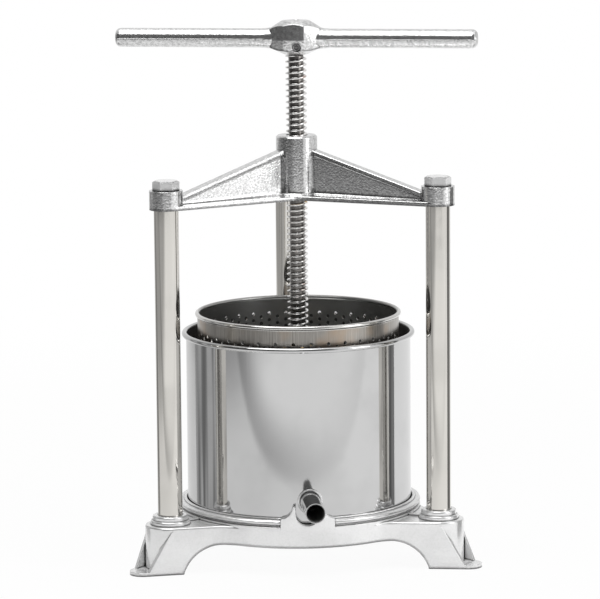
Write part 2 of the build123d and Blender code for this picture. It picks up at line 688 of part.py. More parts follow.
def spout_collar():
    ring = Circle(SPOUT_COLLAR_OD / 2) - Circle(SPOUT_OD / 2)
    inside = rod(PAIL_OD, PAIL_Z, PAIL_RIM_Z)
    return along_spout(ring, PAIL_R / 2, PAIL_R + SPOUT_COLLAR_T) - inside


pieces = {
    "base_casting": base_casting(),
    "crosshead": crosshead(),
    "thread_bush": thread_bush(),
    "screw": screw(),
    "handle": handle(),
    "handle_set_screw": handle_set_screw(),
    "press_plate": press_plate(),
    "thrust_washer": thrust_washer(),
    "plate_washer": plate_washer(),
    "plate_bolt": plate_bolt(),
    "basket_wall": basket_wall(),
    "basket_floor": basket_floor(),
    "pail_shell": pail_shell(),
    "spout_tube": spout_tube(),
    "spout_collar": spout_collar(),
}
for side, side_angle in POST_ANGLES.items():
    pieces[f"post_tube_{side}"] = at_post(side_angle, post_tube())
    pieces[f"tie_bolt_{side}"] = at_post(side_angle, tie_bolt())
    pieces[f"tie_washer_{side}"] = at_post(side_angle, tie_washer())
    pieces[f"tie_nut_{side}"] = at_post(side_angle, tie_nut())

os.makedirs("parts", exist_ok=True)
for node, piece in pieces.items():
    export_step(piece, f"parts/{node}.step")
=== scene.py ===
# %% [markdown]
# A small fruit press, dressed around its CAD frame.
#
# The press is made of a cast base, three polished tubes, a cast crosshead, a coarse screw with a
# T-handle, and a perforated basket that stands in a pail with a spout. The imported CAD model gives
# every piece its place: we load it, keep the solids whose shape is right, and build new meshes only
# where the real surface is finer than the solid.

import math

import bmesh
import bpy
from mathutils import Matrix, Vector
from mathutils.geometry import interpolate_bezier


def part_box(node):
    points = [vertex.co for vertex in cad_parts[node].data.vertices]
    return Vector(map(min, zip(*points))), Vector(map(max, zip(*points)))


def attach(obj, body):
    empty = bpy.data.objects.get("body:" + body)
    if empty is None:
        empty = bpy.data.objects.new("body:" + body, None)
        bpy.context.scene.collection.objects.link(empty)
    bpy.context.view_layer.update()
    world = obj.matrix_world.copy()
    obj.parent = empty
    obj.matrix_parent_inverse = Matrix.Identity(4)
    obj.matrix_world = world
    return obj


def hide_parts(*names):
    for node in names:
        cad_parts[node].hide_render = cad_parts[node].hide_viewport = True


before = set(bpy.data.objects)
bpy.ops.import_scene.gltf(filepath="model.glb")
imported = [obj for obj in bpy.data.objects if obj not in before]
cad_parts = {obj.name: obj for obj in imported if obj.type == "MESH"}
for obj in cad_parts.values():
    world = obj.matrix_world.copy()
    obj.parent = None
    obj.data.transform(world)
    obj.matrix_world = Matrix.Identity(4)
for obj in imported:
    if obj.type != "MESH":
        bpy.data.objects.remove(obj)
scene = bpy.context.scene
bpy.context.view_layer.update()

# %% [markdown]
# The camera stands about four metres away with a long lens, a few degrees to the left, and looks
# down by nine degrees. A long lens keeps the posts upright, as a catalogue picture does. The matrix
# is built from its three axes, because a small roll is easier to write that way than with three
# rotation angles.

# %% Camera
CAMERA_AZIMUTH = math.radians(-3.84)
CAMERA_ELEVATION = math.radians(8.99)
CAMERA_ROLL = math.radians(-0.48)
CAMERA_DISTANCE = 4.0844
CAMERA_LENS = 234.46
CAMERA_REACH = 100
AIM_SIDE = 0.0022
AIM_HEIGHT = 0.2674


def camera_matrix():
    """Camera axes from azimuth and elevation about the aim point, then the roll about the view."""
    level = math.cos(CAMERA_ELEVATION)
    back = Vector((
        math.sin(CAMERA_AZIMUTH) * level,
        -math.cos(CAMERA_AZIMUTH) * level,
        math.sin(CAMERA_ELEVATION),
    ))
    right = Vector((math.cos(CAMERA_AZIMUTH), math.sin(CAMERA_AZIMUTH), 0))
    aim = right * AIM_SIDE + Vector((0, 0, AIM_HEIGHT))
    up = back.cross(right)
    axes = Matrix((right, up, back)).transposed().to_4x4()
    return Matrix.Translation(aim + back * CAMERA_DISTANCE) @ axes @ Matrix.Rotation(CAMERA_ROLL, 4, "Z")


camera = bpy.data.objects.new("camera", bpy.data.cameras.new("camera"))
camera.data.lens = CAMERA_LENS
camera.data.clip_end = CAMERA_REACH
camera.matrix_world = camera_matrix()
scene.collection.objects.link(camera)
scene.camera = camera
scene.view_settings.view_transform = "Standard"
print("camera at", [round(v, 3) for v in camera.location])

# %% [markdown]
# Materials are node trees, and the same few lines make every node, so a helper takes the settings
# and the inputs at once. An input is either a plain value or the output of another node. The other
# helpers write the nodes that come up most often. A Mix node has sockets for each kind of data, so
# its colour sockets are picked by their place.

# %% Node helpers
MIX_FACTOR, MIX_FIRST, MIX_SECOND, MIX_COLOUR = 0, 6, 7, 2


def add_node(tree, kind, inputs=None, **settings):
    """A node with its settings, its values and its incoming links."""
    made = tree.nodes.new(kind)
    for name, value in settings.items():
        setattr(made, name, value)
    for socket, value in (inputs or {}).items():
        if isinstance(value, bpy.types.NodeSocket):
            tree.links.new(value, made.inputs[socket])
        else:
            made.inputs[socket].default_value = value
    return made


def calculate(tree, operation, *values):
    """One Math node; values are numbers or outputs."""
    return add_node(tree, "ShaderNodeMath", dict(enumerate(values)), operation=operation).outputs[0]


def vector_math(tree, operation, *values):
    """One Vector Math node; its outputs are named Vector and Value."""
    return add_node(tree, "ShaderNodeVectorMath", dict(enumerate(values)), operation=operation).outputs


def axes_of(tree, vector):
    return add_node(tree, "ShaderNodeSeparateXYZ", {0: vector}).outputs


def remap(tree, value, low, high, to_low=0.0, to_high=1.0):
    """A smooth step from one range to another."""
    inputs = {"Value": value, "From Min": low, "From Max": high, "To Min": to_low, "To Max": to_high}
    return add_node(tree, "ShaderNodeMapRange", inputs, interpolation_type="SMOOTHSTEP").outputs[0]


def blend_colours(tree, factor, first, second):
    """A colour mix; the colours are tuples or outputs."""
    inputs = {MIX_FACTOR: factor, MIX_FIRST: first, MIX_SECOND: second}
    return add_node(tree, "ShaderNodeMix", inputs, data_type="RGBA").outputs[MIX_COLOUR]


def grey(level):
    return (level, level, level, 1)


# %% [markdown]
# The studio is a white floor under soft light. Bright metal shows its surroundings more than its
# own colour, so the room matters: it is pale behind and above, dim in front where the camera
# stands, and pale again on the right, where the tall softbox is. The world is a ring of greys round
# the horizon with a white ceiling. Camera rays see plain white instead, for a clean background.

# %% Studio room
ROOM_RING = (
    (-180, 0.80), (-138, 0.66), (-118, 0.26), (-96, 0.10), (-60, 0.07), (-25, 0.10), (0, 0.15),
    (31, 0.12), (37, 0.80), (80, 0.76), (110, 0.60), (180, 0.80),
)
CEILING_RISE = (0.78, 0.88)
WHITE = grey(1.0)


def make_room():
    """World whose grey depends on the direction: a ring of tones, blending into a white ceiling."""
    world = bpy.data.worlds.new("studio_room")
    world.use_nodes = True
    tree = world.node_tree
    tree.nodes.clear()
    axes = axes_of(tree, add_node(tree, "ShaderNodeTexCoord").outputs["Generated"])
    towards_front = calculate(tree, "MULTIPLY", axes["Y"], -1.0)
    azimuth = calculate(tree, "ARCTAN2", axes["X"], towards_front)
    around = calculate(tree, "MULTIPLY_ADD", azimuth, 1 / (2 * math.pi), 0.5)
    ring = add_node(tree, "ShaderNodeValToRGB", {0: around})
    stops = ring.color_ramp.elements
    while len(stops) < len(ROOM_RING):
        stops.new(1.0)
    for stop, (degrees, level) in zip(stops, ROOM_RING):
        stop.position = degrees / 360 + 0.5
        stop.color = grey(level)
    room = blend_colours(tree, remap(tree, axes["Z"], *CEILING_RISE), ring.outputs[0], WHITE)
    camera_ray = add_node(tree, "ShaderNodeLightPath").outputs["Is Camera Ray"]
    seen = blend_colours(tree, camera_ray, room, WHITE)
    background = add_node(tree, "ShaderNodeBackground", {"Color": seen, "Strength": 1.0})
    add_node(tree, "ShaderNodeOutputWorld", {"Surface": background.outputs[0]})
    return world


scene.world = make_room()
print("room tones:", len(ROOM_RING))

# %% [markdown]
# The floor is a wide disc. A plain diffuse floor would fall short of white in the picture, so part
# of its shading is a constant white for camera and mirror rays. The rest is ordinary shading, and
# that keeps the soft shadow under the feet. In mirrors the floor's painted glow is brighter to the
# right, it fades away to the left, and a greyer strip of painted shade crosses it half a metre in
# front, where the table under the press ends. The polished pail bends that straight strip into a
# soft U.

# %% Floor
FLOOR_RADIUS = 3.0
FLOOR_SEGMENTS = 96
FLOOR_TONE = 0.9
GLOW_SEEN = 0.94
GLOW_RISE = (0.5, 1.6)
GLOW_MIRROR = 0.85
ACROSS = (-0.5, 0.5)
NEAR_TONES = (0.80, 1.0)
DIP_TONES = (0.46, 0.88)
DIP_STARTS = (0.53, 0.62)
DIP_ENDS = (0.62, 1.05)
TONE_AHEAD = 0.98
DARK_RISE = (-1.5, -0.6)
DARK_LEFT = 0.42


def new_material(name):
    """An empty material, its node tree and the object's own coordinates in it."""
    material = bpy.data.materials.new(name)
    material.use_nodes = True
    tree = material.node_tree
    tree.nodes.clear()
    return material, tree, add_node(tree, "ShaderNodeTexCoord").outputs["Object"]


def place_mesh(bm, name, material):
    """Object from a bmesh, with one material, in the scene."""
    mesh = bpy.data.meshes.new(name)
    bm.to_mesh(mesh)
    bm.free()
    mesh.materials.append(material)
    piece = bpy.data.objects.new(name, mesh)
    scene.collection.objects.link(piece)
    return piece


def pale_floor():
    material, tree, place = new_material("pale_floor")
    path = add_node(tree, "ShaderNodeLightPath").outputs
    mirrored = calculate(tree, "MAXIMUM", path["Is Glossy Ray"], path["Is Transmission Ray"])
    seen = remap(tree, vector_math(tree, "LENGTH", place)["Value"], *GLOW_RISE, GLOW_SEEN, 1.0)
    axes = axes_of(tree, place)
    ahead = calculate(tree, "MULTIPLY", axes["Y"], -1.0)
    near = remap(tree, axes["X"], *ACROSS, *NEAR_TONES)
    dip = remap(tree, axes["X"], *ACROSS, *DIP_TONES)
    beyond = remap(tree, ahead, *DIP_ENDS, dip, TONE_AHEAD)
    tone = remap(tree, ahead, *DIP_STARTS, near, beyond)
    tone = calculate(tree, "MULTIPLY", tone, remap(tree, axes["X"], *DARK_RISE, DARK_LEFT, 1.0))
    strength = calculate(tree, "MULTIPLY_ADD", mirrored, tone, path["Is Camera Ray"])
    share = calculate(tree, "MULTIPLY", path["Is Camera Ray"], seen)
    share = calculate(tree, "MULTIPLY_ADD", mirrored, GLOW_MIRROR, share)
    shaded = add_node(tree, "ShaderNodeBsdfDiffuse", {"Color": grey(FLOOR_TONE)})
    glow = add_node(tree, "ShaderNodeEmission", {"Color": WHITE, "Strength": strength})
    mixed = add_node(tree, "ShaderNodeMixShader", {0: share, 1: shaded.outputs[0], 2: glow.outputs[0]})
    add_node(tree, "ShaderNodeOutputMaterial", {"Surface": mixed.outputs[0]})
    return material


bm = bmesh.new()
bmesh.ops.create_circle(bm, cap_ends=True, segments=FLOOR_SEGMENTS, radius=FLOOR_RADIUS)
floor = place_mesh(bm, "floor", pale_floor())
print("floor radius in metres:", FLOOR_RADIUS)

# %% [markdown]
# Two soft area lamps finish the room: one overhead, one tall softbox to the right of the camera.

# %% Lamps
PRESS_MIDDLE = Vector((0, 0, 0.3))


def make_softbox(name, place, width, height, power):
    """Rectangular area lamp at a place, turned to face the press."""
    data = bpy.data.lights.new(name, "AREA")
    data.shape = "RECTANGLE"
    data.size, data.size_y, data.energy = width, height, power
    lamp = bpy.data.objects.new(name, data)
    lamp.location = place
    lamp.rotation_mode = "QUATERNION"
    lamp.rotation_quaternion = (Vector(place) - PRESS_MIDDLE).to_track_quat("Z", "Y")
    scene.collection.objects.link(lamp)


make_softbox("overhead_softbox", place=(-0.4, -0.5, 2.2), width=1.6, height=1.6, power=19)
make_softbox("right_softbox", place=(1.9, -1.1, 0.9), width=0.8, height=1.5, power=8)

# %% [markdown]
# A photographer hangs dark cloth beside polished metal, so that its edges don't vanish against a
# white room. These flags do the same: only mirror rays see them, and they throw no shadow. A noise
# that is stretched upwards paints the light and shade of folds into the cloth's glow.

# %% Flags
FLAG_DISTANCE = 0.31
FLAG_HEIGHT = 0.38
FOLDS = (30, 30, 3)
FOLD_RANGE = (0.35, 0.65)


def noise(tree, vector, scale, detail=2.0, roughness=0.5):
    inputs = {"Vector": vector, "Scale": scale, "Detail": detail, "Roughness": roughness}
    return add_node(tree, "ShaderNodeTexNoise", inputs).outputs[0]


def cloth(name, dark, light):
    """Cloth that shines by itself, so that no lamp changes its tones."""
    material, tree, place = new_material(name)
    fold_shade = noise(tree, vector_math(tree, "MULTIPLY", place, FOLDS)["Vector"], 1.0, detail=1.0)
    tone = blend_colours(tree, remap(tree, fold_shade, *FOLD_RANGE), grey(dark), grey(light))
    shade = add_node(tree, "ShaderNodeEmission", {"Color": tone, "Strength": 1.0})
    add_node(tree, "ShaderNodeOutputMaterial", {"Surface": shade.outputs[0]})
    return material


def verts_in(geom):
    """The vertices among the parts that an operator gives back."""
    return [part for part in geom if isinstance(part, bmesh.types.BMVert)]


def edges_in(geom):
    return [part for part in geom if isinstance(part, bmesh.types.BMEdge)]


def grow_edges(bm, edges):
    """Faces extruded from the edges; returns the new vertices and edges, still in the old place."""
    grown = bmesh.ops.extrude_edge_only(bm, edges=edges)["geom"]
    return verts_in(grown), edges_in(grown)


def make_flag(name, start, end, dark, light):
    """Upright cloth between two azimuths, in degrees from the front, positive to the right."""
    bm = bmesh.new()
    corners = []
    for turn in (math.radians(start), math.radians(end)):
        corners.append(bm.verts.new((FLAG_DISTANCE * math.sin(turn), -FLAG_DISTANCE * math.cos(turn), 0)))
    raised, _ = grow_edges(bm, [bm.edges.new(corners)])
    bmesh.ops.translate(bm, verts=raised, vec=(0, 0, FLAG_HEIGHT))
    flag = place_mesh(bm, name, cloth(name, dark, light))
    flag.visible_camera = flag.visible_diffuse = flag.visible_shadow = False


make_flag("left_flag", start=-116, end=-82, dark=0.18, light=0.50)
make_flag("right_flag", start=71, end=93, dark=0.10, light=0.26)

# %% [markdown]
# Effects that several metals share are node groups. The first is the skin of a casting: a fine
# grain from the sand, and broad shallow unevenness from the tumbling afterwards.

# %% Shared effect: casting skin
MOTTLE_RANGE = (0.35, 0.65)
SPECKLE_RANGE = (0.42, 0.66)


def new_group(name, inputs, outputs):
    """An empty shader group with its sockets, and the inputs that the nodes inside link to."""
    tree = bpy.data.node_groups.new(name, "ShaderNodeTree")
    for way, sockets in (("INPUT", inputs), ("OUTPUT", outputs)):
        for socket, kind in sockets.items():
            tree.interface.new_socket(socket, in_out=way, socket_type=f"NodeSocket{kind}")
    return tree, add_node(tree, "NodeGroupInput").outputs


def floats(*names):
    return dict.fromkeys(names, "Float")


def make_casting_skin():
    tree, given = new_group(
        "casting_skin",
        {"Vector": "Vector"} | floats("Grain Scale", "Wave Scale", "Wave Share"),
        floats("Height", "Mottle", "Speckle"),
    )
    grain = noise(tree, given["Vector"], given["Grain Scale"], detail=3.0, roughness=0.65)
    wave = noise(tree, given["Vector"], given["Wave Scale"])
    add_node(tree, "NodeGroupOutput", {
        "Height": calculate(tree, "MULTIPLY_ADD", wave, given["Wave Share"], grain),
        "Mottle": remap(tree, wave, *MOTTLE_RANGE),
        "Speckle": remap(tree, grain, *SPECKLE_RANGE),
    })
    return tree


CASTING_SKIN = make_casting_skin()
print("group:", CASTING_SKIN.name, "with", len(CASTING_SKIN.nodes), "nodes")

# %% [markdown]
# The second shared effect finds corners. In the recesses of a casting a dark line of painted shade
# goes in; on the outer edges the metal is rubbed bright and given a painted highlight. The lower
# edges of a wall get a dark line of painted shade as well, but undersides stay clean. Deep pockets
# keep a matt skin, since the wheel can't get in. Ambient occlusion nodes measure recesses and
# pockets, and bevel nodes the edges.

# %% Shared effect: recesses and edges
OCCLUSION_SAMPLES = 6
BEVEL_SAMPLES = 4
RECESS_OPEN = (0.55, 0.95)
POCKET_OPEN = (0.45, 0.85)
RUBBED_HIGHLIGHT_BEND = (0.90, 0.995)
TURNED_DOWN = (-0.20, -0.05)
UNDERSIDE = -0.15


def closed_in(tree, reach, open_range):
    """1 where the surface is closed in within the reach, 0 where it lies open."""
    occlusion = add_node(tree, "ShaderNodeAmbientOcclusion", {"Distance": reach}, samples=OCCLUSION_SAMPLES)
    return remap(tree, occlusion.outputs["AO"], *open_range, 1.0, 0.0)


def rounded_normal(tree, radius):
    return add_node(tree, "ShaderNodeBevel", {"Radius": radius}, samples=BEVEL_SAMPLES).outputs[0]


def make_corner_finder():
    tree, given = new_group(
        "corner_finder",
        floats("Reach", "Pocket Reach", "Edge", "Lower Edge", "Steepest"),
        floats("Recess", "Pocket", "Rubbed Highlight", "Under Edge") | {"Soft Normal": "Vector"},
    )
    plain = add_node(tree, "ShaderNodeNewGeometry").outputs["Normal"]
    rounded = rounded_normal(tree, given["Edge"])
    agree = vector_math(tree, "DOT_PRODUCT", rounded, plain)["Value"]
    wide = rounded_normal(tree, given["Lower Edge"])
    turned = axes_of(tree, vector_math(tree, "SUBTRACT", wide, plain)["Vector"])["Z"]
    rise = axes_of(tree, plain)["Z"]
    allowed = calculate(tree, "LESS_THAN", rise, given["Steepest"])
    allowed = calculate(tree, "MULTIPLY", allowed, calculate(tree, "GREATER_THAN", rise, UNDERSIDE))
    add_node(tree, "NodeGroupOutput", {
        "Recess": closed_in(tree, given["Reach"], RECESS_OPEN),
        "Pocket": closed_in(tree, given["Pocket Reach"], POCKET_OPEN),
        "Rubbed Highlight": remap(tree, agree, *RUBBED_HIGHLIGHT_BEND, 1.0, 0.0),
        "Under Edge": calculate(tree, "MULTIPLY", allowed, remap(tree, turned, *TURNED_DOWN, 1.0, 0.0)),
        "Soft Normal": rounded,
    })
    return tree


CORNER_FINDER = make_corner_finder()
print("group:", CORNER_FINDER.name, "with", len(CORNER_FINDER.nodes), "nodes")

# %% [markdown]
# The third is polish: long fine lines left by the buffing wheel, and soft smudges from handling.
# The lines follow the surface when the vector is stretched first, so the group takes any vector. A
# fourth group gives the angle, the radius and the height about the press's axis for that.

# %% Shared effects: polish and round coordinates
SMUDGE_RANGE = (0.40, 0.68)


def make_polish():
    tree, given = new_group(
        "polish",
        {"Lines": "Vector", "Place": "Vector"} | floats("Smudge Scale"),
        floats("Line", "Smudge"),
    )
    smudge = noise(tree, given["Place"], given["Smudge Scale"], detail=3.0, roughness=0.55)
    add_node(tree, "NodeGroupOutput", {
        "Line": noise(tree, given["Lines"], 1.0, detail=3.0, roughness=0.6),
        "Smudge": remap(tree, smudge, *SMUDGE_RANGE),
    })
    return tree


def make_round_coordinates():
    tree, given = new_group(
        "round_coordinates", {"Vector": "Vector"}, floats("Angle", "Radius", "Height"),
    )
    axes = axes_of(tree, given["Vector"])
    flat = add_node(tree, "ShaderNodeCombineXYZ", {"X": axes["X"], "Y": axes["Y"]}).outputs[0]
    add_node(tree, "NodeGroupOutput", {
        "Angle": calculate(tree, "ARCTAN2", axes["X"], axes["Y"]),
        "Radius": vector_math(tree, "LENGTH", flat)["Value"],
        "Height": axes["Z"],
    })
    return tree


POLISH = make_polish()
ROUND_COORDINATES = make_round_coordinates()
print("shared groups:", [g.name for g in bpy.data.node_groups])

# %% [markdown]
# Cast aluminium carries most of the press. The base is tumbled until it is nearly white, the
# crosshead keeps a greyer, grainier skin, and the handle is buffed smooth by hands. One function
# makes all three and the zinc plated bolts too, and each passes its own tones, roughness and grain.
# On castings only steep faces get the painted dark lower edge, on the bolts every face does.

# %% Cast aluminium and zinc
RECESS_REACH = 0.0018
POCKET_REACH = 0.03
EDGE_RADIUS = 0.0012
LOWER_EDGE_RADIUS = 0.0045
STEEP_FACES = 0.3
EVERY_FACE = 1.1


def use_group(tree, group, **inputs):
    """A shared group in this tree; inputs are named with underscores for spaces."""
    inputs = {name.replace("_", " "): value for name, value in inputs.items()}
    return add_node(tree, "ShaderNodeGroup", inputs, node_tree=group).outputs


def metal(tree, colour, roughness, metallic=1.0, normal=None):
    """Principled metal on the material output; the inputs are values or outputs."""
    inputs = {"Base Color": colour, "Roughness": roughness, "Metallic": metallic}
    if normal is not None:
        inputs["Normal"] = normal
    shader = add_node(tree, "ShaderNodeBsdfPrincipled", inputs)
    add_node(tree, "ShaderNodeOutputMaterial", {"Surface": shader.outputs[0]})


def worn_metal(name, tones, rough, grain, wave, wave_share, depth, metallic=1.0, in_pockets=None,
               steepest=STEEP_FACES):
    """Metal with a grainy skin; tones are bright, dull and painted shade, rough is for bright and dull."""
    bright, dull, shade_tone = (grey(tone) for tone in tones)
    material, tree, place = new_material(name)
    skin = use_group(
        tree, CASTING_SKIN, Vector=place, Grain_Scale=grain, Wave_Scale=wave, Wave_Share=wave_share,
    )
    corner = use_group(
        tree, CORNER_FINDER, Reach=RECESS_REACH, Pocket_Reach=POCKET_REACH, Edge=EDGE_RADIUS,
        Lower_Edge=LOWER_EDGE_RADIUS, Steepest=steepest,
    )
    mottle = calculate(tree, "ADD", skin["Speckle"], skin["Mottle"])
    mottle = calculate(tree, "DIVIDE", mottle, 2.0)
    colour = blend_colours(tree, mottle, bright, dull)
    # Edges get the bright tone as wear and painted highlight; recesses and lower edges get painted shade.
    for mask, tone in (("Rubbed Highlight", bright), ("Recess", shade_tone), ("Under Edge", shade_tone)):
        colour = blend_colours(tree, corner[mask], colour, tone)
    roughness = remap(tree, mottle, 0.0, 1.0, *rough)
    bump = add_node(tree, "ShaderNodeBump", {
        "Strength": 1.0, "Distance": depth, "Height": skin["Height"], "Normal": corner["Soft Normal"],
    })
    if in_pockets is not None:
        metallic = remap(tree, corner["Pocket"], 0.0, 1.0, metallic, in_pockets)
    metal(tree, colour, roughness, metallic, bump.outputs[0])
    return material


BASE_CAST = worn_metal(
    "bright_casting", tones=(0.97, 0.84, 0.05), rough=(0.14, 0.24), grain=600, wave=30, wave_share=0.8,
    depth=0.00006, metallic=0.70, in_pockets=0.20,
)
CROSSHEAD_CAST = worn_metal(
    "grainy_casting", tones=(0.92, 0.52, 0.06), rough=(0.08, 0.16), grain=520, wave=380, wave_share=0.2,
    depth=0.00009,
)
HANDLE_CAST = worn_metal(
    "buffed_casting", tones=(0.92, 0.54, 0.08), rough=(0.08, 0.16), grain=480, wave=300, wave_share=0.3,
    depth=0.00018, metallic=0.93,
)
ZINC_STEEL = worn_metal(
    "zinc_fastener", tones=(0.97, 0.86, 0.05), rough=(0.10, 0.18), grain=500, wave=60, wave_share=0.5,
    depth=0.00003, metallic=0.5, steepest=EVERY_FACE,
)
print("worn metals:", [m.name for m in (BASE_CAST, CROSSHEAD_CAST, HANDLE_CAST, ZINC_STEEL)])

# %% [markdown]
# The tubes and the pail are stainless steel, polished almost to a mirror, with buffing lines that
# run up the wall. The pail is matt inside and painted dark there as shade, and the distance from the
# axis tells inside from outside. The bronze bush and washer are made by the same function, with a
# duller skin and close rings from the lathe.

# %% Stainless steel and bronze
SMUDGE_SCALE = 14.0
SMUDGE_SHADE = 0.93
INSIDE_SHADE = 0.10
INSIDE_DULLER = 0.3
INSIDE_METALLIC = 0.3
PAIL_SKIN_R = (0.1164, 0.1170)


def stretch(tree, spot, lines, depth=0.0):
    """Vector that makes lines of a noise; lines are how many it has round the axis and upwards."""
    around = calculate(tree, "MULTIPLY", spot["Angle"], lines[0])
    along = calculate(tree, "MULTIPLY", spot["Height"], lines[1])
    return add_node(tree, "ShaderNodeCombineXYZ", {"X": around, "Y": depth, "Z": along}).outputs[0]


def polished_metal(name, tone, rough, lines, depth, skin_r=None):
    """Sheet, tube or turned piece with fine lines, matt and painted dark as shade inside its skin if given.
    """
    material, tree, place = new_material(name)
    spot = use_group(tree, ROUND_COORDINATES, Vector=place)
    stretched = stretch(tree, spot, lines, spot["Radius"])
    polish = use_group(tree, POLISH, Lines=stretched, Place=place, Smudge_Scale=SMUDGE_SCALE)
    darker = tuple(v * SMUDGE_SHADE for v in tone[:3]) + (1,)
    colour = blend_colours(tree, polish["Smudge"], tone, darker)
    roughness = remap(tree, polish["Smudge"], 0.0, 1.0, *rough)
    metallic = 1.0
    bump = add_node(tree, "ShaderNodeBump", {"Strength": 1.0, "Distance": depth, "Height": polish["Line"]})
    if skin_r:
        inside = remap(tree, spot["Radius"], *skin_r, 1.0, 0.0)
        # Inside the skin the steel is painted dark as shade, and made duller and less metallic.
        colour = blend_colours(tree, inside, colour, grey(INSIDE_SHADE))
        roughness = calculate(tree, "MULTIPLY_ADD", inside, INSIDE_DULLER, roughness)
        metallic = remap(tree, inside, 0.0, 1.0, 1.0, INSIDE_METALLIC)
    metal(tree, colour, roughness, metallic, bump.outputs[0])
    return material


TUBE_STEEL = polished_metal(
    "polished_tube", (0.73, 0.71, 0.67, 1), rough=(0.06, 0.12), lines=(9.0, 3.0), depth=0.00002)
PAIL_STEEL = polished_metal(
    "mirror_pail", grey(0.62), rough=(0.05, 0.10), lines=(26.0, 3.0), depth=0.00003, skin_r=PAIL_SKIN_R)
BRONZE = polished_metal(
    "machined_bronze", (0.62, 0.46, 0.25, 1), rough=(0.20, 0.34), lines=(4.0, 900.0), depth=0.00002)
print("polished metals:", [m.name for m in (TUBE_STEEL, PAIL_STEEL, BRONZE)])

# %% [markdown]
# Three pieces need a finish of their own. The basket is brushed up and down outside, with a breath
# of heat colour, and stays plain inside; its rim is polished outside. Radius and height tell these
# zones apart, so no part of the mesh has to be picked by hand.

# %% Basket finish
BASKET_SKIN_R = (0.1046, 0.1050)
BASKET_RIM_Z = (0.2505, 0.2515)
BRUSH_LINES = (70.0, 16.0)
BRUSH_RANGE = (0.3, 0.7)
BRUSH_DARK = (0.27, 0.255, 0.235, 1)
BRUSH_LIGHT = (0.50, 0.48, 0.45, 1)
HEAT_SCALE = 26.0
HEAT_RANGE = (0.48, 0.70)
HEAT_TINT = (0.44, 0.35, 0.27, 1)
INSIDE_TINT = (0.44, 0.44, 0.43, 1)
RIM_TINT = (0.74, 0.73, 0.71, 1)
SHEET_ROUGH = 0.28
RIM_ROUGH = 0.14


def brushed_basket():
    material, tree, place = new_material("brushed_basket")
    spot = use_group(tree, ROUND_COORDINATES, Vector=place)
    streak = noise(tree, stretch(tree, spot, BRUSH_LINES), 1.0, detail=4.0, roughness=0.7)
    heat = remap(tree, noise(tree, place, HEAT_SCALE), *HEAT_RANGE)
    outside = remap(tree, spot["Radius"], *BASKET_SKIN_R)
    rim = calculate(tree, "MULTIPLY", remap(tree, spot["Height"], *BASKET_RIM_Z), outside)
    sheet = blend_colours(tree, remap(tree, streak, *BRUSH_RANGE), BRUSH_DARK, BRUSH_LIGHT)
    sheet = blend_colours(tree, heat, sheet, HEAT_TINT)
    colour = blend_colours(tree, outside, INSIDE_TINT, sheet)
    colour = blend_colours(tree, rim, colour, RIM_TINT)
    metal(tree, colour, calculate(tree, "MULTIPLY_ADD", rim, RIM_ROUGH - SHEET_ROUGH, SHEET_ROUGH))
    return material


BASKET_STEEL = brushed_basket()
print("basket:", BASKET_STEEL.name)

# %% [markdown]
# The screw's roots are painted dark as shade, and only its crests are bright, with a few brown stains.
# Its radius tells root from crest.

# %% Screw finish
SCREW_ROOT_R = (0.0082, 0.0098)
STAIN_SCALE = 90.0
STAIN_RANGE = (0.55, 0.75)
CREST_TINT = (0.96, 0.95, 0.94, 1)
STAIN_TINT = (0.66, 0.54, 0.49, 1)
ROOT_SHADE = (0.25, 0.24, 0.23, 1)
SCREW_ROUGH = (0.20, 0.08)


def root_shaded_screw():
    material, tree, place = new_material("root_shaded_screw")
    spot = use_group(tree, ROUND_COORDINATES, Vector=place)
    crest = remap(tree, spot["Radius"], *SCREW_ROOT_R)
    stain = remap(tree, noise(tree, place, STAIN_SCALE, detail=3.0, roughness=0.6), *STAIN_RANGE)
    bright = blend_colours(tree, stain, CREST_TINT, STAIN_TINT)
    # The roots take the painted shade, the crests the bright tone.
    colour = blend_colours(tree, crest, ROOT_SHADE, bright)
    metal(tree, colour, remap(tree, crest, 0.0, 1.0, *SCREW_ROUGH))
    return material


SCREW_STEEL = root_shaded_screw()
print("screw:", SCREW_STEEL.name)

# %% [markdown]
# The spout is polished outside but dull inside and painted dark there as shade, so its open end
# reads as a hole. It lies across the press's axis, so a cross product measures the distance from its
# own axis.

# %% Spout finish
SPOUT_SKIN_R = (0.0094, 0.0101)
SPOUT_INSIDE_SHADE = 0.22
SPOUT_OUTSIDE = 0.66
SPOUT_ROUGH = (0.55, 0.08)
SPOUT_METALLIC = (0.2, 1.0)


def spout_steel():
    material, tree, place = new_material("spout_steel")
    low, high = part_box("spout_tube")
    axis = Vector(((low.x + high.x) / 2, (low.y + high.y) / 2, 0)).normalized()
    base = (0, 0, (low.z + high.z) / 2)
    offset = vector_math(tree, "SUBTRACT", place, base)["Vector"]
    across = vector_math(tree, "CROSS_PRODUCT", offset, axis)["Vector"]
    outside = remap(tree, vector_math(tree, "LENGTH", across)["Value"], *SPOUT_SKIN_R)
    # Inside the skin the colour is painted shade.
    colour = blend_colours(tree, outside, grey(SPOUT_INSIDE_SHADE), grey(SPOUT_OUTSIDE))
    roughness = remap(tree, outside, 0.0, 1.0, *SPOUT_ROUGH)
    metal(tree, colour, roughness, remap(tree, outside, 0.0, 1.0, *SPOUT_METALLIC))
    return material


SPOUT_STEEL = spout_steel()
print("spout:", SPOUT_STEEL.name)

# %% [markdown]
# Every CAD node now takes the finish whose name starts its own; the longest match wins.

